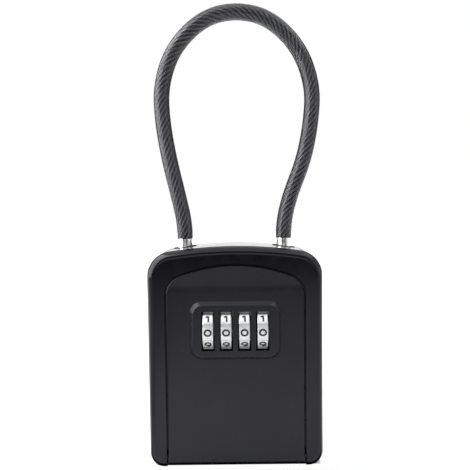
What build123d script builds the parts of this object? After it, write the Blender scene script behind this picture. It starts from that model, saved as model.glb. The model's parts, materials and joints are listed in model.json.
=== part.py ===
"""Key lock box with a four-digit combination door and a lift-out steel cable shackle.

Millimetres, +Z up, the door facing -Y. The origin is under the middle of the box, on the
surface that it stands on.
"""

import os
from math import atan, degrees, radians, sqrt, tan

from build123d import *

# --- Driving dimensions ----------------------------------------------------------------

# Box body
body_width = 95.0
body_height = 121.0  # to the crown of the arched top
body_depth = 40.0
arch_radius = 240.0
top_corner = 14.0
bottom_corner = 8.0
front_round = 4.2
back_round = 2.0
wall = 2.6
frame_depth = 11.0  # the front frame takes this much of the body's depth

# Combination dials
dial_radius = 11.6
dial_width = 5.5
dial_pitch = 9.7
dial_count = 4
dial_height = 75.9  # of the spindle
dial_proud = 5.6  # past the front face
digit_count = 10
grip_groove_width = 1.9
grip_groove_depth = 0.4
spindle_radius = 2.0
running_gap = 0.08
part_gap = 0.3  # between parts that move past each other

# Door
door_width = 74.4
door_top = 111.1
door_arch = 81.5
door_corner = 10.6
door_gap = 0.8
door_thickness = 3.0
door_edge_round = 1.0
crease_height = 98.5  # above it the face leans back
crease_drop = 1.4
crease_round = 40.0
plateau_width = 49.0
plateau_height = 31.4
plateau_proud = 2.2
plateau_bevel = 2.0
plateau_corner = 6.5
plateau_edge_round = 1.4  # where the bevel meets the face
slot_width = 7.0
slot_height = 21.2

# Lip in the frame that the closed door rests against
lip_width = 69.0
lip_top = 107.6
lip_arch = 78.0
lip_corner = 8.0
lip_foot = 3.0
lip_thickness = 2.8
lip_gap = 0.4  # behind the closed door

# Shackle
leg_spacing = 57.2
leg_depth = 25.0  # behind the front face
leg_radius = 4.1
leg_top = 124.3
sheath_radius = 4.5
sheath_bore = 3.0
rope_radius = 2.9
socket_depth = 8.0
grommet_radius = 6.6

# --- Places worked out from them ---------------------------------------------------------

front_y = dial_proud - (body_depth + dial_proud) / 2
back_y = front_y + body_depth
joint_y = front_y + frame_depth
inner_back_y = back_y - wall
inner_x = body_width / 2 - wall

hinge_y = front_y + front_round
hinge_z = 4.7
pin_radius = 1.5

dial_y = front_y - dial_proud + dial_radius
dial_xs = [(number - (dial_count - 1) / 2) * dial_pitch for number in range(dial_count)]

leg_x = leg_spacing / 2
leg_y = front_y + leg_depth

os.makedirs("parts", exist_ok=True)


def save(part, name):
    """Label a finished piece and write it under its own name."""
    part.label = name
    export_step(part, f"parts/{name}.step")


def arched(width, top, arch, corner, low=0.0, foot=0.0):
    """An upright outline with a straight bottom and an arched top with round corners."""
    with BuildSketch() as outline:
        with Locations((0, (top + low) / 2)):
            Rectangle(width, top - low)
        with Locations((0, top - arch)):
            Circle(arch, mode=Mode.INTERSECT)
        fillet(outline.vertices().group_by(Axis.Y)[-1], corner)
        if foot:
            fillet(outline.vertices().group_by(Axis.Y)[0], foot)
    return outline.sketch


def body_outline(inset=0.0):
    """The body's outline, moved in by the inset."""
    return arched(
        body_width - 2 * inset,
        body_height - inset,
        arch_radius - inset,
        top_corner - inset,
        low=inset,
        foot=bottom_corner - inset,
    )


def prism(outline, near, far, mode=Mode.ADD):
    """An upright outline filled from y = near to y = far."""
    with BuildSketch(Plane.XZ.offset(-far)) as profile:
        add(outline)
    extrude(profile.sketch, amount=far - near, mode=mode)


def block(x, y, z, mode=Mode.ADD):
    """A box between two limits on each axis."""
    middle = ((x[0] + x[1]) / 2, (y[0] + y[1]) / 2, (z[0] + z[1]) / 2)
    with Locations(middle):
        Box(x[1] - x[0], y[1] - y[0], z[1] - z[0], mode=mode)


def rod_x(radius, x, y, z, mode=Mode.ADD):
    """A round bar along X between the two limits in x."""
    with Locations(((x[0] + x[1]) / 2, y, z)):
        Cylinder(radius, x[1] - x[0], rotation=(0, 90, 0), mode=mode)


def rod_y(radius, x, y, z, mode=Mode.ADD):
    """A round bar along Y between the two limits in y."""
    with Locations((x, (y[0] + y[1]) / 2, z)):
        Cylinder(radius, y[1] - y[0], rotation=(90, 0, 0), mode=mode)


def rod_z(radius, x, y, z, mode=Mode.ADD):
    """A round bar along Z between the two limits in z."""
    with Locations((x, y, (z[0] + z[1]) / 2)):
        Cylinder(radius, z[1] - z[0], mode=mode)


def screw(head, shank, x, seat, z, towards=1):
    """A pan-head screw with a cross slot, driven along Y; head and shank are (radius, length)."""
    head_radius, head_height = head
    shank_radius, shank_length = shank
    top = seat - towards * head_height
    rod_y(head_radius, x, sorted((seat, top)), z)
    rod_y(shank_radius, x, sorted((seat, seat + towards * shank_length)), z)
    slot_y = sorted((top, top + towards * head_height * 0.6))
    slot_reach = head_radius * 0.55
    slot_half = head_radius * 0.13
    for across, up in ((slot_reach, slot_half), (slot_half, slot_reach)):
        block((x - across, x + across), slot_y, (z - up, z + up), Mode.SUBTRACT)


def coil_spring(start, direction, length, radius, wire, turns):
    """A compression spring that starts at a point and runs along a direction."""
    axis_plane = Plane(start, z_dir=direction)
    path = Helix(pitch=(length - wire) / turns, height=length - wire, radius=radius)
    path = axis_plane.offset(wire / 2) * path
    with BuildPart() as spring:
        with BuildSketch(Plane(path @ 0, z_dir=path % 0)):
            Circle(wire / 2)
        sweep(path=path, is_frenet=True)
    return spring.part


# --- Rear housing -------------------------------------------------------------------------

frame_screws_xz = [(side * 41.8, height) for height in (14.0, 90.0) for side in (-1, 1)]
cover_screws_xz = [(side * across, 102.0) for across in (14.0, 39.0) for side in (-1, 1)]
wall_hole_spacing_x = 50.0
wall_hole_spacing_z = 50.0
wall_hole_radius = 2.5
wall_hole_middle_z = 49.0
cover_y = (-1.0, 0.2)  # the shackle cover's upright plate
frame_post_radius = 3.4
frame_screw_radius = 1.5
frame_screw_recess = (3.0, 3.0)  # radius, depth
cover_post_radius = 3.0
cover_screw_radius = 1.25
cover_screw_depth = 8.0
guide_radius = 7.3
guide_top_z = body_height - 3.5
captive_guide_z = 111.3
locking_guide_z = 114.0
grommet_seat_z = 116.6
grommet_proud = 0.25

with BuildPart() as rear_housing:
    prism(body_outline(), joint_y, back_y)
    fillet(rear_housing.faces().sort_by(Axis.Y)[-1].edges(), back_round)
    prism(body_outline(wall), joint_y, inner_back_y, Mode.SUBTRACT)
    for x, z in frame_screws_xz:
        rod_y(frame_post_radius, x, (joint_y, inner_back_y), z)
    for x, z in cover_screws_xz:
        rod_y(cover_post_radius, x, (cover_y[1], inner_back_y), z)
    for side, low in ((-1, captive_guide_z), (1, locking_guide_z)):
        rod_z(guide_radius, side * leg_x, leg_y, (low, guide_top_z))
        rod_z(leg_radius + running_gap, side * leg_x, leg_y, (low - 1, body_height), Mode.SUBTRACT)
        rod_z(grommet_radius, side * leg_x, leg_y, (grommet_seat_z, body_height), Mode.SUBTRACT)
    for x, z in frame_screws_xz:
        rod_y(frame_screw_radius, x, (joint_y - 1, back_y + 1), z, Mode.SUBTRACT)
        rod_y(frame_screw_recess[0], x, (back_y - frame_screw_recess[1], back_y + 1), z, Mode.SUBTRACT)
    for x, z in cover_screws_xz:
        rod_y(cover_screw_radius, x, (cover_y[1] - 1, cover_y[1] + cover_screw_depth), z, Mode.SUBTRACT)
    with Locations(Plane((0, inner_back_y, wall_hole_middle_z), x_dir=(1, 0, 0), z_dir=(0, -1, 0))):
        with GridLocations(wall_hole_spacing_x, wall_hole_spacing_z, 2, 2):
            Hole(wall_hole_radius, depth=wall + 1)
save(rear_housing.part, "rear_housing")

# --- Front frame --------------------------------------------------------------------------

recess_back_y = front_y + door_thickness + lip_gap
lip_back_y = recess_back_y + lip_thickness
recess_half = door_width / 2 + door_gap
barrel_radius = hinge_y - front_y
hinge_room = barrel_radius + 0.5  # the barrel turns inside this
sill_top = hinge_z + hinge_room
pin_seat = 4.2  # how far each end of the pin goes into the frame
pin_end = recess_half + pin_seat

with BuildPart() as front_frame:
    prism(body_outline(), front_y, joint_y)
    fillet(front_frame.faces().sort_by(Axis.Y)[0].edges(), front_round)
    recess = arched(
        2 * recess_half, door_top + door_gap, door_arch + door_gap, door_corner + door_gap, low=-1
    )
    prism(recess, front_y - 1, recess_back_y, Mode.SUBTRACT)
    opening = arched(lip_width, lip_top, lip_arch, lip_corner, low=sill_top, foot=lip_foot)
    prism(opening, recess_back_y - 1, lip_back_y + 1, Mode.SUBTRACT)
    prism(body_outline(wall), lip_back_y, joint_y, Mode.SUBTRACT)
    for x, z in frame_screws_xz:
        rod_y(frame_post_radius, x, (lip_back_y, joint_y), z)
    block(
        (-recess_half, recess_half),
        (front_y - 1, hinge_y + hinge_room),
        (-1, sill_top),
        Mode.SUBTRACT,
    )
    rod_x(pin_radius, (-pin_end, pin_end), hinge_y, hinge_z, Mode.SUBTRACT)
    for x, z in frame_screws_xz:
        rod_y(frame_screw_radius, x, (lip_back_y, joint_y + 1), z, Mode.SUBTRACT)
save(front_frame.part, "front_frame")

with BuildPart() as hinge_pin:
    rod_x(pin_radius, (-pin_end, pin_end), hinge_y, hinge_z)
    chamfer(hinge_pin.edges().filter_by(GeomType.CIRCLE), 0.3)
save(hinge_pin.part, "hinge_pin")

frame_screw_seat = back_y - frame_screw_recess[1]
frame_screw_length = frame_screw_seat - lip_back_y - 0.5

with BuildPart() as frame_screws:
    for x, z in frame_screws_xz:
        screw((2.7, 1.8), (frame_screw_radius, frame_screw_length), x, frame_screw_seat, z, towards=-1)
save(frame_screws.part, "frame_screws")

# --- Shackle chamber: grommets, cover, keeper ------------------------------------------------

with BuildPart() as leg_grommets:
    for side in (-1, 1):
        rod_z(grommet_radius, side * leg_x, leg_y, (grommet_seat_z, body_height + 2))
        grommet_bore_z = (grommet_seat_z - 1, body_height + 3)
        rod_z(leg_radius + part_gap, side * leg_x, leg_y, grommet_bore_z, Mode.SUBTRACT)
    prism(body_outline(-grommet_proud), joint_y, back_y, Mode.INTERSECT)
save(leg_grommets.part, "leg_grommets")

floor_z = (95.6, 96.6)
latch_z = (111.0, 113.0)
latch_half_width = 6.0
latch_travel = 5.0
latch_left = -12.0
latch_y = (leg_y - latch_half_width, leg_y + latch_half_width)
channel_x = (-20.9, 19.0)
channel_floor = 1.5
channel_wall = 1.5
channel_end_wall = 1.2
channel_back_y = latch_y[1] + part_gap + channel_wall
thumb_half = 4.0
thumb_slot_gap = 0.4
cover_screw_hole_radius = 1.4
thumb_front_y = cover_y[0] - 2.6

with BuildPart() as shackle_cover:
    prism(body_outline(wall + part_gap), *cover_y)
    block((-60, 60), (cover_y[0] - 1, cover_y[1] + 1), (-1, floor_z[0]), Mode.SUBTRACT)
    block((-inner_x + part_gap, inner_x - part_gap), (cover_y[0], inner_back_y - part_gap), floor_z)
    channel_floor_z = latch_z[0] - part_gap
    block(channel_x, (cover_y[1], channel_back_y), (channel_floor_z - channel_floor, channel_floor_z))
    channel_wall_y = (channel_back_y - channel_wall, channel_back_y)
    block(channel_x, channel_wall_y, (channel_floor_z, latch_z[1] + 0.6))
    channel_end_x = (channel_x[0], channel_x[0] + channel_end_wall)
    block(channel_end_x, (cover_y[1], channel_back_y), (channel_floor_z, latch_z[1] + 1.4))
    block(
        (-thumb_half - thumb_slot_gap, thumb_half + latch_travel + thumb_slot_gap),
        (cover_y[0] - 1, cover_y[1] + 1),
        (latch_z[0] - thumb_slot_gap, latch_z[1] + thumb_slot_gap),
        Mode.SUBTRACT,
    )
    for x, z in cover_screws_xz:
        rod_y(cover_screw_hole_radius, x, (cover_y[0] - 1, cover_y[1] + 1), z, Mode.SUBTRACT)
save(shackle_cover.part, "shackle_cover")

bolt_half = 7.0
bolt_y = (dial_y + 0.8, dial_y + 4.8)
keeper_z = (95.6, 97.0)
keeper_top_z = 106.0
keeper_x = (-18.0, 18.0)
keeper_lip = 1.9  # in front of the bolt's slot
keeper_slot_gap = 0.4
keeper_front_y = bolt_y[0] - part_gap - keeper_lip
keeper_plate_y = (cover_y[0] - 1.2, cover_y[0])

with BuildPart() as door_keeper:
    block(keeper_x, (keeper_front_y, cover_y[0]), keeper_z)
    block(keeper_x, keeper_plate_y, (keeper_z[1], keeper_top_z))
    block(
        (-bolt_half - keeper_slot_gap, bolt_half + keeper_slot_gap),
        (bolt_y[0] - part_gap, bolt_y[1] + part_gap),
        (keeper_z[0] - 1, keeper_z[1] + 1),
        Mode.SUBTRACT,
    )
    for x, z in cover_screws_xz[:2]:
        rod_y(cover_screw_hole_radius, x, (keeper_plate_y[0] - 1, cover_y[0] + 1), z, Mode.SUBTRACT)
save(door_keeper.part, "door_keeper")

with BuildPart() as cover_screws:
    for x, z in cover_screws_xz[:2]:
        screw((2.4, 1.6), (cover_screw_radius, 8.0), x, keeper_plate_y[0], z)
    for x, z in cover_screws_xz[2:]:
        screw((2.4, 1.6), (cover_screw_radius, 7.0), x, cover_y[0], z)
save(cover_screws.part, "cover_screws")

# --- Shackle latch ------------------------------------------------------------------------------

groove_z = (110.4, 113.6)
groove_radius = 2.6
prong_half_gap = groove_radius + part_gap
latch_tip = leg_x - sqrt(leg_radius**2 - prong_half_gap**2) - part_gap - 0.1
fork_bottom = leg_x - prong_half_gap - latch_travel

rib_count = 4
rib_pitch = 1.9
rib_radius = 0.45

with BuildPart() as shackle_latch:
    block((latch_left, latch_tip), latch_y, latch_z)
    block(
        (fork_bottom, latch_tip + 1),
        (leg_y - prong_half_gap, leg_y + prong_half_gap),
        latch_z,
        Mode.SUBTRACT,
    )
    thumb_x = (-thumb_half, thumb_half)
    block(thumb_x, (thumb_front_y, latch_y[0]), latch_z)
    block(thumb_x, (thumb_front_y, cover_y[0] - 0.4), (latch_z[0] - 2.4, latch_z[1] + 2.4))
    for rib in range(rib_count):
        x = (rib - (rib_count - 1) / 2) * rib_pitch
        rod_z(rib_radius, x, thumb_front_y, (latch_z[0] - 2.0, latch_z[1] + 2.0))
save(shackle_latch.part, "shackle_latch")

spring_start = channel_x[0] + channel_end_wall
shackle_latch_spring = coil_spring(
    start=(spring_start, leg_y, sum(latch_z) / 2),
    direction=(1, 0, 0),
    length=latch_left - spring_start,
    radius=0.9,
    wire=0.35,
    turns=7,
)
save(shackle_latch_spring, "shackle_latch_spring")

# --- Shackle legs, rope and sheath ----------------------------------------------------------------

captive_bottom = 97.0
ring_z = (98.0, 99.0)
ring_neck_radius = 3.2
ring_radius = 5.6
ring_gap_half = 2.4
leg_top_round = 0.3
socket_radius = rope_radius + 0.1
locking_bottom = 108.5

with BuildPart() as captive_leg:
    rod_z(leg_radius, -leg_x, leg_y, (captive_bottom, leg_top))
    chamfer(captive_leg.edges().filter_by(GeomType.CIRCLE).sort_by(Axis.Z)[0], 0.6)
    fillet(captive_leg.edges().filter_by(GeomType.CIRCLE).sort_by(Axis.Z)[-1], leg_top_round)
    rod_z(socket_radius, -leg_x, leg_y, (leg_top - socket_depth, leg_top), Mode.SUBTRACT)
    rod_z(leg_radius + 1, -leg_x, leg_y, ring_z, Mode.SUBTRACT)
    rod_z(ring_neck_radius, -leg_x, leg_y, ring_z)
save(captive_leg.part, "captive_leg")

with BuildPart() as retaining_ring:
    rod_z(ring_radius, -leg_x, leg_y, ring_z)
    rod_z(ring_neck_radius + 0.05, -leg_x, leg_y, ring_z, Mode.SUBTRACT)
    ring_gap_x = (-leg_x - ring_gap_half, -leg_x + ring_gap_half)
    block(ring_gap_x, (leg_y - 7, leg_y - 2), ring_z, Mode.SUBTRACT)
save(retaining_ring.part, "retaining_ring")

with BuildPart() as locking_leg:
    rod_z(leg_radius, leg_x, leg_y, (locking_bottom, leg_top))
    chamfer(locking_leg.edges().filter_by(GeomType.CIRCLE).sort_by(Axis.Z)[0], 0.8)
    fillet(locking_leg.edges().filter_by(GeomType.CIRCLE).sort_by(Axis.Z)[-1], leg_top_round)
    rod_z(socket_radius, leg_x, leg_y, (leg_top - socket_depth, leg_top), Mode.SUBTRACT)
    rod_z(leg_radius + 1, leg_x, leg_y, groove_z, Mode.SUBTRACT)
    rod_z(groove_radius, leg_x, leg_y, groove_z)
save(locking_leg.part, "locking_leg")

# The cable stands up from the captive leg, swells outwards, and comes back down a little
# to the right of the box's middle. Corners of its route as (x, z) in the legs' plane.
cable_route_xz = [
    (-leg_x, leg_top),
    (-leg_x, 132.5),
    (-32.0, 148.3),
    (-37.2, 169.0),
    (-41.0, 191.0),
    (-41.9, 212.0),
    (-34.6, 233.6),
    (-17.2, 250.7),
    (2.3, 255.2),
    (21.8, 250.5),
    (38.9, 233.3),
    (46.4, 211.5),
    (45.4, 191.5),
    (41.0, 169.5),
    (32.6, 149.0),
    (leg_x, 132.8),
    (leg_x, leg_top),
]
cable_route = [Vector(x, leg_y, z) for x, z in cable_route_xz]


def corner_radii(route):
    """The radius of the round at each inner corner: as large as its two runs allow."""
    radii = []
    for before, corner, after in zip(route, route[1:], route[2:]):
        turn = radians((corner - before).get_angle(after - corner))
        shorter = min((corner - before).length, (after - corner).length)
        radii.append(0.45 * shorter / tan(turn / 2))
    return radii


def cable_solid(outer, bore, path):
    """A round tube, or a rod where the bore is 0, swept along the path."""
    with BuildPart() as tube:
        with BuildSketch(Plane(path @ 0, z_dir=path % 0)) as section:
            Circle(outer)
            if bore:
                Circle(bore, mode=Mode.SUBTRACT)
        sweep(path=path)
    expected = section.sketch.area * path.length
    print(f"swept volume {tube.part.volume:.1f}, section times length {expected:.1f}")
    return tube.part


cable_radii = corner_radii(cable_route)
print("cable corner radii:", [round(radius, 1) for radius in cable_radii])
cable_path = FilletPolyline(*cable_route, radius=cable_radii)
print(f"cable length {cable_path.length:.1f}")
save(cable_solid(sheath_radius, sheath_bore, cable_path), "cable_sheath")

socket = Vector(0, 0, socket_depth)
rope_ends = [cable_route[0] - socket, cable_route[-1] - socket]
rope_route = [rope_ends[0], *cable_route[1:-1], rope_ends[1]]
rope_path = FilletPolyline(*rope_route, radius=cable_radii)
save(cable_solid(rope_radius, 0, rope_path), "wire_rope")

# --- Door panel ---------------------------------------------------------------------------------

door_back_y = front_y + door_thickness
plateau_face_y = front_y - plateau_proud
pocket_y = front_y - 0.6
pocket_half_width = 21.5
pocket_half_height = 12.6
barrel_half = door_width / 2
ear_thickness = 2.0
ear_half_height = 3.4
ear_end_x = 29.6
ear_screw_radius = 1.25
ear_xz = [(side * 26.4, height) for height in (63.5, 87.5) for side in (-1, 1)]

with BuildPart() as door_panel:
    prism(arched(door_width, door_top, door_arch, door_corner, low=hinge_z), front_y, door_back_y)
    with BuildSketch(Plane.YZ.offset(-door_width / 2 - 1)):
        with BuildLine():
            Polyline(
                (front_y, crease_height),
                (front_y + crease_drop, door_top),
                (front_y + crease_drop, door_top + 1),
                (front_y - 1, door_top + 1),
                (front_y - 1, crease_height),
                close=True,
            )
        make_face()
    extrude(amount=door_width + 2, mode=Mode.SUBTRACT)
    crease = door_panel.edges().filter_by(Axis.X).sort_by_distance((0, front_y, crease_height))[0]
    fillet(crease, crease_round)
    rim = (
        door_panel.edges()
        .filter_by(lambda edge: edge.center().Y < front_y + crease_drop + 0.1)
        .filter_by(lambda edge: edge.center().Z > hinge_z + 1)
        .filter_by(Axis.X, reverse=True)
    )
    fillet(rim, door_edge_round)
    rod_x(barrel_radius, (-barrel_half, barrel_half), hinge_y, hinge_z)
    with BuildSketch(Plane.XZ.offset(-front_y)):
        with Locations((0, dial_height)):
            RectangleRounded(plateau_width, plateau_height, plateau_corner)
    extrude(amount=plateau_proud, taper=degrees(atan(plateau_bevel / plateau_proud)))
    fillet(door_panel.faces().filter_by(Axis.Y).sort_by(Axis.Y)[0].edges(), plateau_edge_round)
    block(
        (-pocket_half_width, pocket_half_width),
        (pocket_y, door_back_y + 1),
        (dial_height - pocket_half_height, dial_height + pocket_half_height),
        Mode.SUBTRACT,
    )
    for x in dial_xs:
        block(
            (x - slot_width / 2, x + slot_width / 2),
            (plateau_face_y - 1, pocket_y + 1),
            (dial_height - slot_height / 2, dial_height + slot_height / 2),
            Mode.SUBTRACT,
        )
    rod_x(pin_radius + running_gap, (-barrel_half - 1, barrel_half + 1), hinge_y, hinge_z, Mode.SUBTRACT)
    for x, z in ear_xz:
        rod_y(ear_screw_radius, x, (door_back_y - 2.2, door_back_y + 1), z, Mode.SUBTRACT)
save(door_panel.part, "door_panel")

# --- Lock case on the back of the door -----------------------------------------------------------

case_half = 23.4
case_wall = 1.4
case_z = (57.5, 93.4)
case_inner_z = (58.7, 92.2)
case_back_y = front_y + 18.8
case_cover_y = (case_back_y, case_back_y + 1.2)
case_inner_half = case_half - case_wall
case_boss_radius = 1.9
case_screw_radius = 1.0
case_screws_xz = [(side * 20.5, height) for height in (60.2, 90.7) for side in (-1, 1)]
bolt_spring_x = -19.8
bolt_spring_z = 83.5
bolt_plate_z = (87.9, 89.3)
spindle_x = (-case_half + 0.5, case_half - 0.5)

with BuildPart() as lock_case:
    block((-case_half, case_half), (door_back_y, case_back_y), case_z)
    block(
        (-case_inner_half, case_inner_half), (door_back_y - 1, case_back_y + 1), case_inner_z, Mode.SUBTRACT
    )
    for x, z in ear_xz:
        side = 1 if x > 0 else -1
        ear_x = sorted((side * (case_half - 0.5), side * ear_end_x))
        ear_z = (z - ear_half_height, z + ear_half_height)
        block(ear_x, (door_back_y, door_back_y + ear_thickness), ear_z)
    fillet(lock_case.edges().filter_by(Axis.Y).filter_by(lambda edge: abs(edge.center().X) > 29), 1.5)
    for x, z in ear_xz:
        rod_y(1.4, x, (door_back_y - 1, door_back_y + 3), z, Mode.SUBTRACT)
    for x, z in case_screws_xz:
        rod_y(case_boss_radius, x, (case_back_y - 4, case_back_y), z)
        rod_y(case_screw_radius, x, (case_back_y - 3.4, case_back_y + 1), z, Mode.SUBTRACT)
    rod_x(spindle_radius, spindle_x, dial_y, dial_height, Mode.SUBTRACT)
    block(
        (-bolt_half - part_gap, bolt_half + part_gap),
        (bolt_y[0] - part_gap, bolt_y[1] + part_gap),
        (case_inner_z[1] - 1, case_z[1] + 1),
        Mode.SUBTRACT,
    )
    block(
        (-case_inner_half, bolt_spring_x + 1.7),
        (dial_y - 0.8, dial_y + 3.2),
        (bolt_spring_z - 1.5, bolt_spring_z),
    )
save(lock_case.part, "lock_case")

with BuildPart() as lock_case_screws:
    for x, z in ear_xz:
        screw((2.3, 1.5), (ear_screw_radius, 4.0), x, door_back_y + ear_thickness, z, towards=-1)
save(lock_case_screws.part, "lock_case_screws")

with BuildPart() as dial_spindle:
    rod_x(spindle_radius, spindle_x, dial_y, dial_height)
save(dial_spindle.part, "dial_spindle")

# --- Dials and their cams --------------------------------------------------------------------------

cam_radius = 6.5
hub_radius = 5.0
cam_end = 6.2  # past the dial's middle
gate_width = 3.2
gate_depth = 1.8

for number, dial_x in enumerate(dial_xs, start=1):
    dial_x_range = (dial_x - dial_width / 2, dial_x + dial_width / 2)
    with BuildPart() as dial:
        rod_x(dial_radius, dial_x_range, dial_y, dial_height)
        chamfer(dial.edges().filter_by(GeomType.CIRCLE), 0.3)
        with Locations(Plane((dial_x, dial_y, dial_height), x_dir=(0, -1, 0), z_dir=(1, 0, 0))):
            with PolarLocations(dial_radius, digit_count, start_angle=180 / digit_count):
                Box(2 * grip_groove_depth, grip_groove_width, dial_width, mode=Mode.SUBTRACT)
        rod_x(hub_radius, dial_x_range, dial_y, dial_height, Mode.SUBTRACT)
    save(dial.part, f"dial_{number}")

    with BuildPart() as cam:
        rod_x(hub_radius, (dial_x_range[0], dial_x + cam_end), dial_y, dial_height)
        rod_x(cam_radius, (dial_x_range[1] + 0.2, dial_x + cam_end), dial_y, dial_height)
        block(
            (dial_x_range[1] + 0.2, dial_x + cam_end),
            (dial_y - gate_width / 2, dial_y + gate_width / 2),
            (dial_height + cam_radius - gate_depth, dial_height + cam_radius + 1),
            Mode.SUBTRACT,
        )
        rod_x(
            spindle_radius + running_gap,
            (dial_x_range[0] - 1, dial_x + cam_end + 1),
            dial_y,
            dial_height,
            Mode.SUBTRACT,
        )
    save(cam.part, f"dial_cam_{number}")

# --- Latch bolt, its spring, the reset lever and the detent spring -----------------------------------

finger_z = dial_height + cam_radius + part_gap
finger_half = 1.3
bolt_plate_x = (-21.6, 21.2)  # longer on the spring's side
bolt_nose_top = 94.4

with BuildPart() as latch_bolt:
    block(bolt_plate_x, (dial_y - 2.6, bolt_y[1]), bolt_plate_z)
    block((-bolt_half, bolt_half), bolt_y, (bolt_plate_z[1], bolt_nose_top))
    for x in dial_xs:
        finger_x = x + (dial_width / 2 + cam_end) / 2 + 0.1
        block(
            (finger_x - finger_half, finger_x + finger_half),
            (dial_y - 1.4, dial_y + 1.4),
            (finger_z, bolt_plate_z[0]),
        )
    chamfer(
        latch_bolt.faces().sort_by(Axis.Z)[-1].edges().filter_by(Axis.X),
        0.8,
    )
save(latch_bolt.part, "latch_bolt")

bolt_spring = coil_spring(
    start=(bolt_spring_x, dial_y + 1.2, bolt_spring_z),
    direction=(0, 0, 1),
    length=bolt_plate_z[0] - bolt_spring_z,
    radius=1.2,
    wire=0.4,
    turns=4,
)
save(bolt_spring, "bolt_spring")

lever_z = (59.2, 61.2)
reset_travel = 2.5
lever_plate_half = 12.0
lever_neck_half = 3.0
lever_pad_half = 4.0

with BuildPart() as reset_lever:
    block((-lever_plate_half, lever_plate_half), (dial_y - 1, case_back_y - part_gap), lever_z)
    block((-lever_neck_half, lever_neck_half), (case_back_y - part_gap, case_cover_y[1] + 2.4), lever_z)
    pad_y = (case_cover_y[1] + 0.6, case_cover_y[1] + 2.4)
    block((-lever_pad_half, lever_pad_half), pad_y, (lever_z[0] - 2, lever_z[1] + 2.6))
    fillet(reset_lever.edges().filter_by(Axis.Y).group_by(Axis.Z)[-1], 0.8)
save(reset_lever.part, "reset_lever")

with BuildPart() as lock_case_cover:
    block((-case_half, case_half), case_cover_y, case_z)
    fillet(lock_case_cover.edges().filter_by(Axis.Y), 1.5)
    block(
        (-lever_neck_half - part_gap, lever_neck_half + reset_travel + part_gap),
        (case_back_y - 1, case_cover_y[1] + 1),
        (lever_z[0] - part_gap, lever_z[1] + part_gap),
        Mode.SUBTRACT,
    )
    for x, z in case_screws_xz:
        rod_y(1.1, x, (case_back_y - 1, case_cover_y[1] + 1), z, Mode.SUBTRACT)
save(lock_case_cover.part, "lock_case_cover")

with BuildPart() as case_cover_screws:
    for x, z in case_screws_xz:
        screw((case_boss_radius, 1.1), (case_screw_radius, 4.2), x, case_cover_y[1], z, towards=-1)
save(case_cover_screws.part, "case_cover_screws")

detent_half = 18.0
detent_z = (66.0, 86.0)
detent_thickness = 0.4
detent_gap_half = 1.2  # between one leaf and the next
detent_gap_top = 83.0
detent_bead_radius = 0.45

with BuildPart() as detent_spring:
    block((-detent_half, detent_half), (case_back_y - detent_thickness, case_back_y), detent_z)
    for x in dial_xs[:-1]:
        gap_x = (x + dial_pitch / 2 - detent_gap_half, x + dial_pitch / 2 + detent_gap_half)
        block(gap_x, (case_back_y - 1, case_back_y + 1), (detent_z[0], detent_gap_top), Mode.SUBTRACT)
    for x in dial_xs:
        rod_x(detent_bead_radius, (x - 1.8, x + 1.8), case_back_y - detent_thickness, dial_height)
    block((-30, 30), (case_back_y, case_back_y + 2), (60, 90), Mode.SUBTRACT)
save(detent_spring.part, "detent_spring")
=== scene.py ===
"""Looks of the key lock box: satin black castings, plated dials and a sheathed steel cable.

Metres, +Z up, the door facing -Y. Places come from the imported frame; sizes that the frame
doesn't hold are named here.
"""

import json
from math import cos, hypot, pi, radians, sin

import bmesh
import bpy
from mathutils import Matrix, Vector


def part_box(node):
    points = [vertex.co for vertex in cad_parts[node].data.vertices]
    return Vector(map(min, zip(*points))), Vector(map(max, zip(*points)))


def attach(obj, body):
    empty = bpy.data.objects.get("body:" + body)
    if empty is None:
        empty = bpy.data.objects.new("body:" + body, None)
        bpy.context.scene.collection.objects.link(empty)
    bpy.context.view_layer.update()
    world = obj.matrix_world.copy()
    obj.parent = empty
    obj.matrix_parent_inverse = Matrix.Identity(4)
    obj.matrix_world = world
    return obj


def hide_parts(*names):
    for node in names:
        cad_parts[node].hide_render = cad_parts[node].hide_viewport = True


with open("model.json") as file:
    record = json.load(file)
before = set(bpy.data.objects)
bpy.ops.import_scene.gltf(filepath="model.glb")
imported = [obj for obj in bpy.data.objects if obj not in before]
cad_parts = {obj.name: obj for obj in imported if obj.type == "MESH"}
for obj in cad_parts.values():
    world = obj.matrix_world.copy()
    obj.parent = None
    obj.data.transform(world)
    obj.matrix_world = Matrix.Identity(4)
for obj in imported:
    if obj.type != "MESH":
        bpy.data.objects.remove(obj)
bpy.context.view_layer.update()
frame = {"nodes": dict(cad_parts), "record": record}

MM = 0.001

# --- Places read from the frame ---------------------------------------------------------------

frame_low, frame_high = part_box("front_frame")
_, housing_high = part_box("rear_housing")
front_y = frame_low[1]
back_y = housing_high[1]
body_top = frame_high[2]
body_middle_y = (front_y + back_y) / 2
body_side = frame_high[0]
leg_low, leg_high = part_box("captive_leg")
leg_x = -(leg_low[0] + leg_high[0]) / 2
leg_y = (leg_low[1] + leg_high[1]) / 2
leg_top = leg_high[2]

# --- Camera -----------------------------------------------------------------------------------

camera_distance = 260 * MM  # in front of the front face
camera_height = 139.8 * MM
camera_aside = 0.4 * MM
camera_pitch = radians(2.8)
camera_roll = radians(-0.64)
camera_lens = 37.54  # in millimetres, for a sensor of the width below
camera_sensor = 36.0

camera_data = bpy.data.cameras.new("camera")
camera_data.lens = camera_lens
camera_data.sensor_width = camera_sensor
camera = bpy.data.objects.new("camera", camera_data)
bpy.context.collection.objects.link(camera)
camera.matrix_world = (
    Matrix.Translation((camera_aside, front_y - camera_distance, camera_height))
    @ Matrix.Rotation(pi / 2 - camera_pitch, 4, "X")
    @ Matrix.Rotation(camera_roll, 4, "Z")
)
bpy.context.scene.camera = camera

# --- Cable ------------------------------------------------------------------------------------

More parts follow.
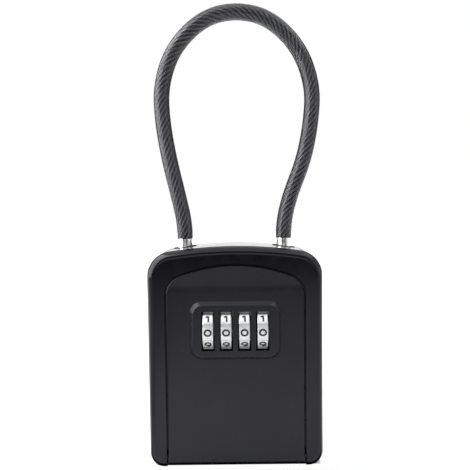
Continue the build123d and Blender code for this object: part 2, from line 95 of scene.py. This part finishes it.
sheath_diameter = 9.0 * MM
sheath_roundness = 10  # Blender's bevel resolution
route_order = 3
route_resolution = 24  # points between two corners
strand_count = 7
strand_radius = 0.86 * MM
rope_radius = 2.0 * MM  # from the rope's middle to a strand's middle
strand_pitch = 26.0 * MM
strand_sides = 8

# Corners of the cable's route in the legs' plane, up from the captive leg and down to the
# locking leg.
cable_route = [
    (-leg_x, leg_top),
    (-leg_x, 0.1325),
    (-0.0319, 0.1481),
    (-0.0368, 0.1687),
    (-0.0405, 0.1906),
    (-0.0413, 0.2114),
    (-0.0341, 0.2328),
    (-0.0170, 0.2497),
    (0.0023, 0.2542),
    (0.0217, 0.2495),
    (0.0385, 0.2325),
    (0.0459, 0.2109),
    (0.0449, 0.1911),
    (0.0407, 0.1692),
    (0.0325, 0.1488),
    (leg_x, 0.1328),
    (leg_x, leg_top),
]


def add_object(name, data):
    """A new object in the scene."""
    made = bpy.data.objects.new(name, data)
    bpy.context.collection.objects.link(made)
    return made


def route_curve(name):
    """One open NURBS spline with the route's corners as its control points."""
    curve = bpy.data.curves.new(name, "CURVE")
    curve.dimensions = "3D"
    spline = curve.splines.new("NURBS")
    spline.points.add(len(cable_route) - 1)
    for point, (x, z) in zip(spline.points, cable_route):
        point.co = (x, leg_y, z, 1.0)
    spline.order_u = route_order
    spline.use_endpoint_u = True
    curve.resolution_u = route_resolution
    return curve


def meshed(curve):
    """The curve as a mesh. The curve itself isn't kept."""
    holder = add_object(curve.name, curve)
    mesh = bpy.data.meshes.new_from_object(holder)
    bpy.data.objects.remove(holder)
    bpy.data.curves.remove(curve)
    return mesh


def route_points():
    """Points along the route's own line."""
    mesh = meshed(route_curve("route"))
    points = [vertex.co.copy() for vertex in mesh.vertices]
    bpy.data.meshes.remove(mesh)
    return points


def make_sheath():
    """The clear tube over the rope."""
    curve = route_curve("sheath")
    curve.bevel_depth = sheath_diameter / 2
    curve.bevel_resolution = sheath_roundness
    curve.use_fill_caps = True
    sheath = add_object("sheath", meshed(curve))
    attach(sheath, "shackle")
    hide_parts("cable_sheath")
    return sheath


def make_strands(points):
    """The twisted strands of the rope, which wind round the cable's line."""
    mesh = bpy.data.meshes.new("rope_strands")
    shape = bmesh.new()
    travelled = [0.0]
    for before, after in zip(points, points[1:]):
        travelled.append(travelled[-1] + (after - before).length)
    for strand in range(strand_count):
        rings = []
        for index, point in enumerate(points):
            ahead = points[min(index + 1, len(points) - 1)]
            behind = points[max(index - 1, 0)]
            along = (ahead - behind).normalized()
            across = Vector((0, 1, 0))
            beside = along.cross(across)
            turn = 2 * pi * (travelled[index] / strand_pitch + strand / strand_count)
            outward = across * cos(turn) + beside * sin(turn)
            sideways = along.cross(outward)
            middle = point + outward * rope_radius
            ring = []
            for side in range(strand_sides):
                angle = 2 * pi * side / strand_sides
                offset = outward * cos(angle) + sideways * sin(angle)
                ring.append(shape.verts.new(middle + offset * strand_radius))
            rings.append(ring)
        for near, far in zip(rings, rings[1:]):
            for side in range(strand_sides):
                following = (side + 1) % strand_sides
                shape.faces.new((near[side], near[following], far[following], far[side]))
        shape.faces.new(list(reversed(rings[0])))
        shape.faces.new(rings[-1])
    bmesh.ops.recalc_face_normals(shape, faces=shape.faces)
    shape.to_mesh(mesh)
    shape.free()
    for polygon in mesh.polygons:
        polygon.use_smooth = True
    strands = add_object("rope_strands", mesh)
    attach(strands, "shackle")
    return strands


cable_line = route_points()
sheath = make_sheath()
strands = make_strands(cable_line)
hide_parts("wire_rope")

# --- Materials --------------------------------------------------------------------------------

smoke_density = 520  # of the sheath, per metre
smoke_tint = (0.0, 0.0, 0.04, 1)


def new_material(name, **sockets):
    """A material with these values on its shader's own sockets."""
    material = bpy.data.materials.new(name)
    material.use_nodes = True
    shader = material.node_tree.nodes["Principled BSDF"]
    for socket, value in sockets.items():
        shader.inputs[socket.replace("_", " ")].default_value = value
    return material


def add_noise(material, scale, detail=4, stretch=(1, 1, 1)):
    """A noise texture in object space, and its output."""
    nodes, links = material.node_tree.nodes, material.node_tree.links
    place = nodes.new("ShaderNodeTexCoord")
    mapping = nodes.new("ShaderNodeMapping")
    mapping.inputs["Scale"].default_value = stretch
    noise = nodes.new("ShaderNodeTexNoise")
    noise.inputs["Scale"].default_value = scale
    noise.inputs["Detail"].default_value = detail
    links.new(place.outputs["Object"], mapping.inputs["Vector"])
    links.new(mapping.outputs["Vector"], noise.inputs["Vector"])
    return noise.outputs["Fac"]


def add_range(material, value, low, high):
    """The middle of a noise's values spread between low and high."""
    node = material.node_tree.nodes.new("ShaderNodeMapRange")
    node.inputs["From Min"].default_value = 0.3
    node.inputs["From Max"].default_value = 0.7
    node.inputs["To Min"].default_value = low
    node.inputs["To Max"].default_value = high
    material.node_tree.links.new(value, node.inputs["Value"])
    return node.outputs["Result"]


def vary_roughness(material, rough, spread, scale):
    """Uneven gloss at one scale."""
    shader = material.node_tree.nodes["Principled BSDF"]
    noise = add_noise(material, scale)
    value = add_range(material, noise, rough - spread, rough + spread)
    material.node_tree.links.new(value, shader.inputs["Roughness"])


def vary_colour(material, dark, light, scale):
    """Uneven colour between two tones."""
    nodes, links = material.node_tree.nodes, material.node_tree.links
    mix = nodes.new("ShaderNodeMix")
    mix.data_type = "RGBA"
    mix.inputs["A"].default_value = (*dark, 1)
    mix.inputs["B"].default_value = (*light, 1)
    links.new(add_range(material, add_noise(material, scale), 0, 1), mix.inputs["Factor"])
    links.new(mix.outputs["Result"], nodes["Principled BSDF"].inputs["Base Color"])


def add_bump(material, scale, height, stretch=(1, 1, 1)):
    """A fine relief, its height in metres."""
    nodes, links = material.node_tree.nodes, material.node_tree.links
    bump = nodes.new("ShaderNodeBump")
    bump.inputs["Strength"].default_value = 1.0
    bump.inputs["Distance"].default_value = height
    links.new(add_noise(material, scale, 3, stretch), bump.inputs["Height"])
    links.new(bump.outputs["Normal"], nodes["Principled BSDF"].inputs["Normal"])


def powder_coat(name, dark, light, rough):
    """Satin black paint with a fine, slightly uneven skin."""
    material = new_material(name, IOR=1.42, Specular_Tint=(0.86, 0.86, 0.96, 1))
    vary_colour(material, dark, light, scale=60)
    vary_roughness(material, rough, spread=0.03, scale=180)
    add_bump(material, scale=2600, height=0.0014 * MM)
    return material


def metal(name, dark, light, rough, grain, stretch=(1, 1, 1)):
    """A metal with a grain that may run one way."""
    material = new_material(name, Metallic=1.0)
    vary_colour(material, dark, light, scale=400)
    vary_roughness(material, rough, spread=0.05, scale=300)
    add_bump(material, grain, height=0.001 * MM, stretch=stretch)
    return material


def moulded(name, dark, light, rough):
    """A moulded plastic, rubber or ink with a fine texture."""
    material = new_material(name, IOR=1.46)
    vary_colour(material, dark, light, scale=150)
    vary_roughness(material, rough, spread=0.04, scale=250)
    add_bump(material, scale=1800, height=0.008 * MM)
    return material


def dial_finish(name, dark, light, rough):
    """Bright satin plating on the dials, brushed round them."""
    material = new_material(name, Metallic=0.7, IOR=1.5)
    vary_colour(material, dark, light, scale=500)
    vary_roughness(material, rough, spread=0.05, scale=300)
    add_bump(material, scale=900, height=0.002 * MM, stretch=(0.1, 1, 1))
    return material


def clear_vinyl(name, tone, rough):
    """Smoke-tinted clear sheath: gloss outside, and darker where more of it is looked through."""
    material = new_material(
        name,
        Base_Color=tone,
        Roughness=rough,
        IOR=1.45,
        Transmission_Weight=1.0,
    )
    nodes, links = material.node_tree.nodes, material.node_tree.links
    smoke = nodes.new("ShaderNodeVolumeAbsorption")
    smoke.inputs["Color"].default_value = smoke_tint
    smoke.inputs["Density"].default_value = smoke_density
    links.new(smoke.outputs["Volume"], nodes["Material Output"].inputs["Volume"])
    add_bump(material, scale=160, height=0.001 * MM)
    return material


# Each slot's kind of material, its dark and light tones, its roughness, and for a metal its
# grain and how the grain is stretched. The clear sheath has one tone.
finishes = {
    "body_paint": (powder_coat, (0.0022, 0.0023, 0.0034), (0.0034, 0.0036, 0.0050), 0.15),
    "door_paint": (powder_coat, (0.0024, 0.0025, 0.0036), (0.0036, 0.0038, 0.0052), 0.25),
    "dial_metal": (dial_finish, (0.58, 0.59, 0.60), (0.70, 0.70, 0.71), 0.35),
    "cam_steel": (metal, (0.05, 0.05, 0.055), (0.09, 0.09, 0.095), 0.42, 900),
    "nickel": (metal, (0.80, 0.77, 0.73), (0.88, 0.85, 0.81), 0.22, 700),
    "nickel_bolt": (metal, (0.52, 0.52, 0.53), (0.66, 0.66, 0.67), 0.38, 600),
    "steel": (metal, (0.05, 0.05, 0.055), (0.08, 0.08, 0.085), 0.42, 900, (0.05, 1, 1)),
    "spring_steel": (metal, (0.40, 0.40, 0.42), (0.54, 0.54, 0.56), 0.28, 1200),
    "zinc_screw": (metal, (0.62, 0.63, 0.66), (0.76, 0.77, 0.80), 0.24, 900),
    "rope_steel": (metal, (0.50, 0.50, 0.52), (0.66, 0.66, 0.68), 0.40, 900),
    "case_metal": (metal, (0.24, 0.25, 0.26), (0.28, 0.29, 0.30), 0.50, 600),
    "rubber": (moulded, (0.006, 0.006, 0.006), (0.012, 0.012, 0.012), 0.60),
    "inner_plastic": (moulded, (0.012, 0.012, 0.013), (0.022, 0.022, 0.024), 0.48),
    "latch_plastic": (moulded, (0.06, 0.06, 0.065), (0.09, 0.09, 0.095), 0.42),
    "clear_sheath": (clear_vinyl, (0.92, 0.92, 0.94, 1), 0.26),
}
materials = {name: make(name, *values) for name, (make, *values) in finishes.items()}
digit_ink = moulded("digit_ink", (0.001, 0.001, 0.001), (0.003, 0.003, 0.003), 0.55)


def paint(target, material):
    """Put one material in every slot of an object."""
    if not target.material_slots:
        target.data.materials.append(material)
    for holder in target.material_slots:
        holder.material = material


for part in frame["record"]["subparts"]:
    paint(frame["nodes"][part["node"]], materials[part["material_slot"]])
paint(sheath, materials["clear_sheath"])
paint(strands, materials["rope_steel"])

# --- Digits on the dials ----------------------------------------------------------------------

dial_count = 4
digit_height = 4.0 * MM
digit_width = 4.3 * MM
digit_stroke = 0.95 * MM
digit_proud = 0.015 * MM
arc_steps = 28
line_steps = 8
same_place = 1e-6  # of a digit's half size; a stroke whose ends are this near is closed


def arc(x, y, across, up, start, end):
    """Points on an ellipse between two angles in degrees."""
    turns = [radians(start + (end - start) * step / arc_steps) for step in range(arc_steps + 1)]
    return [(x + across * cos(turn), y + up * sin(turn)) for turn in turns]


def line(*corners):
    """Straight strokes, with enough points to follow the dial's curve."""
    points = [corners[0]]
    for (x0, y0), (x1, y1) in zip(corners, corners[1:]):
        for step in range(1, line_steps + 1):
            share = step / line_steps
            points.append((x0 + (x1 - x0) * share, y0 + (y1 - y0) * share))
    return points


# Strokes of each digit in a box from -1 to 1 each way.
DIGITS = [
    [arc(0, 0, 1, 1, 0, 360)],
    [line((-0.65, 0.65), (-0.15, 1), (0.2, 1), (0.2, -1))],
    [arc(0, 0.42, 0.9, 0.58, 165, -35) + line((0.74, 0.09), (-0.9, -1), (0.95, -1))],
    [arc(0, 0.48, 0.82, 0.52, 160, -90), arc(0, -0.46, 0.92, 0.54, 90, -160)],
    [line((0.45, -1), (0.45, 1), (-0.95, -0.4), (0.95, -0.4))],
    [line((0.8, 1), (-0.65, 1), (-0.75, 0.1)) + arc(-0.02, -0.32, 0.92, 0.68, 140, -150)],
    [arc(0, -0.38, 0.9, 0.62, 0, 360), arc(0.35, -0.2, 1.25, 1.2, 172, 95)],
    [line((-0.9, 1), (0.9, 1), (-0.25, -1))],
    [arc(0, 0.5, 0.74, 0.5, 0, 360), arc(0, -0.5, 0.92, 0.5, 0, 360)],
    [arc(0, 0.38, 0.9, 0.62, 0, 360), arc(-0.35, 0.2, 1.25, 1.2, -8, -85)],
]


def stroke_edges(points, width):
    """The two edges of a stroke along the points."""
    (first_x, first_y), (last_x, last_y) = points[0], points[-1]
    closed = hypot(first_x - last_x, first_y - last_y) < same_place
    before, after = (points[-2], points[1]) if closed else (points[0], points[-1])
    edges = []
    for behind, (x, y), ahead in zip([before, *points], points, [*points[1:], after]):
        along = Vector((ahead[0] - behind[0], ahead[1] - behind[1])).normalized()
        aside = Vector((-along.y, along.x)) * width / 2
        edges.append(((x + aside.x, y + aside.y), (x - aside.x, y - aside.y)))
    return edges


def make_digits(number):
    """The filled digits round one dial, 0 in the middle row and each next one above it."""
    low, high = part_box(f"dial_{number}")
    middle = [(low[axis] + high[axis]) / 2 for axis in range(3)]
    radius = (high[1] - low[1]) / 2 + digit_proud
    across = (digit_width - digit_stroke) / 2
    up = (digit_height - digit_stroke) / 2
    mesh = bpy.data.meshes.new(f"dial_digits_{number}")
    shape = bmesh.new()
    for digit, strokes in enumerate(DIGITS):
        for points in strokes:
            rows = []
            for pair in stroke_edges([(x * across, y * up) for x, y in points], digit_stroke):
                row = []
                for x, along in pair:
                    angle = along / radius + digit * 2 * pi / len(DIGITS)
                    place = (
                        middle[0] + x,
                        middle[1] - radius * cos(angle),
                        middle[2] + radius * sin(angle),
                    )
                    row.append(shape.verts.new(place))
                rows.append(row)
            for near, far in zip(rows, rows[1:]):
                shape.faces.new((near[0], near[1], far[1], far[0]))
    bmesh.ops.recalc_face_normals(shape, faces=shape.faces)
    shape.to_mesh(mesh)
    shape.free()
    digits = add_object(f"dial_digits_{number}", mesh)
    paint(digits, digit_ink)
    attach(digits, f"dial_{number}")


for number in range(1, dial_count + 1):
    make_digits(number)

# --- Floor, light and surroundings -------------------------------------------------------------

floor_half = 3.0
floor_front = 0.8  # in front of the box, before the room goes dark
foot_inset = 4.2 * MM  # the foot line stands this far behind the front face
floor_slot = 2 * MM  # left open before the face, so that the bottom edge reflects nothing white
floor_glow = 0.5
floor_rough = 0.9
floor_white = 0.9
glow_fade = 2 * MM

# Each step of brightness: where it starts and ends, and the brightness there. The floor's
# places are in metres, and the world's are parts of a direction's length of 1.
# Painted shade on the front floor: darker further ahead of the box and to its left.
floor_ahead_shade = (-0.3, -0.05, 0.55, 0.72)
floor_left_shade = (-0.11, -0.045, 0.5, 1.0)
world_below = (-0.03, 0.03, 0.04, 1.6)
world_above = (0.12, 0.4, 1.0, 0.25)
world_behind = (0.0, 0.5, 1.0, 1.1)
world_aside = (0.9, 0.97, 0.2, 1.0)

side_light_x = 0.45
side_light_y = -0.14
side_light_z = 0.35
side_light_size = 0.7
left_energy = 7  # in watts, as is the right one
right_energy = 1.4
overhead_energy = 2.6
overhead_angle = radians(100)


def stepped(nodes, links, value, low, high, at_low, at_high):
    """A smooth step from one brightness to another as the value goes from low to high."""
    step = nodes.new("ShaderNodeMapRange")
    step.interpolation_type = "SMOOTHSTEP"
    step.inputs["From Min"].default_value = low
    step.inputs["From Max"].default_value = high
    step.inputs["To Min"].default_value = at_low
    step.inputs["To Max"].default_value = at_high
    links.new(value, step.inputs["Value"])
    return step.outputs["Result"]


def calculated(nodes, links, operation, *values):
    """The result of one arithmetic operation on these values."""
    node = nodes.new("ShaderNodeMath")
    node.operation = operation
    for value, socket in zip(values, node.inputs):
        links.new(value, socket)
    return node.outputs["Value"]


def floor_places(material):
    """The floor's node tree, its shader, and the places across and along it."""
    nodes, links = material.node_tree.nodes, material.node_tree.links
    place = nodes.new("ShaderNodeTexCoord")
    split = nodes.new("ShaderNodeSeparateXYZ")
    links.new(place.outputs["Object"], split.inputs["Vector"])
    return nodes, links, nodes["Principled BSDF"], split.outputs["X"], split.outputs["Y"]


def painted_front_floor_shade():
    """Pale grey, with painted shade that darkens it further from the box and to its left."""
    material = new_material("front_floor_painted_shade", Roughness=floor_rough)
    nodes, links, shader, across, depth = floor_places(material)
    # Painted shade: the base colour falls off away from the box.
    ahead = stepped(nodes, links, depth, *floor_ahead_shade)
    left = stepped(nodes, links, across, *floor_left_shade)
    links.new(calculated(nodes, links, "MULTIPLY", ahead, left), shader.inputs["Base Color"])
    return material


def rear_finish():
    """White, and glowing outside the box's footprint so that the box throws no shadow."""
    white = (floor_white, floor_white, floor_white, 1)
    material = new_material("rear_floor_paint", Base_Color=white, Roughness=floor_rough)
    nodes, links, shader, across, depth = floor_places(material)
    aside = calculated(nodes, links, "ABSOLUTE", across)
    beside = stepped(nodes, links, aside, body_side - glow_fade, body_side, 0.0, floor_glow)
    behind = stepped(nodes, links, depth, back_y - glow_fade, back_y, 0.0, floor_glow)
    glow = calculated(nodes, links, "MAXIMUM", beside, behind)
    shader.inputs["Emission Color"].default_value = (1, 1, 1, 1)
    links.new(glow, shader.inputs["Emission Strength"])
    return material


def add_floor(name, near, far, material):
    """A stretch of floor between two places in front of or behind the box."""
    mesh = bpy.data.meshes.new(name)
    corners = [
        (-floor_half, near, 0),
        (floor_half, near, 0),
        (floor_half, far, 0),
        (-floor_half, far, 0),
    ]
    mesh.from_pydata(corners, [], [(0, 1, 2, 3)])
    floor = add_object(name, mesh)
    paint(floor, material)


add_floor("front_floor", -floor_front, front_y - floor_slot, painted_front_floor_shade())
add_floor("rear_floor", front_y + foot_inset, floor_half, rear_finish())


def side_light(name, x, energy):
    """A square light beside and above the box that faces the middle of it."""
    data = bpy.data.lights.new(name, "AREA")
    data.shape = "SQUARE"
    data.size = side_light_size
    data.energy = energy
    light = add_object(name, data)
    light.location = (x, side_light_y, side_light_z)
    aim = Vector((0, body_middle_y, body_top / 2)) - light.location
    light.rotation_euler = aim.to_track_quat("-Z", "Y").to_euler()


side_light("left_light", -side_light_x, left_energy)
side_light("right_light", side_light_x, right_energy)

overhead = bpy.data.lights.new("overhead_light", "SUN")
overhead.energy = overhead_energy
overhead.angle = overhead_angle
add_object("overhead_light", overhead)


def studio_world():
    """A white room near eye level, dimmer to the sides and higher up, and dark below.

    The camera itself sees plain white.
    """
    world = bpy.data.worlds.new("studio")
    bpy.context.scene.world = world
    world.use_nodes = True
    nodes, links = world.node_tree.nodes, world.node_tree.links
    nodes.clear()
    place = nodes.new("ShaderNodeTexCoord")
    split = nodes.new("ShaderNodeSeparateXYZ")
    links.new(place.outputs["Generated"], split.inputs["Vector"])
    depth, height = split.outputs["Y"], split.outputs["Z"]
    level = calculated(nodes, links, "ABSOLUTE", depth)
    below = stepped(nodes, links, height, *world_below)
    above = stepped(nodes, links, height, *world_above)
    behind = stepped(nodes, links, depth, *world_behind)
    aside = stepped(nodes, links, level, *world_aside)
    vertical = calculated(nodes, links, "MULTIPLY", below, above)
    across = calculated(nodes, links, "MULTIPLY", behind, aside)
    seen = nodes.new("ShaderNodeBackground")
    seen.inputs["Color"].default_value = (1, 1, 1, 1)
    lit = nodes.new("ShaderNodeBackground")
    links.new(calculated(nodes, links, "MULTIPLY", vertical, across), lit.inputs["Strength"])
    rays = nodes.new("ShaderNodeLightPath")
    mix = nodes.new("ShaderNodeMixShader")
    links.new(rays.outputs["Is Camera Ray"], mix.inputs["Fac"])
    links.new(lit.outputs["Background"], mix.inputs[1])
    links.new(seen.outputs["Background"], mix.inputs[2])
    output = nodes.new("ShaderNodeOutputWorld")
    links.new(mix.outputs["Shader"], output.inputs["Surface"])


studio_world()
bpy.context.scene.view_settings.view_transform = "Standard"
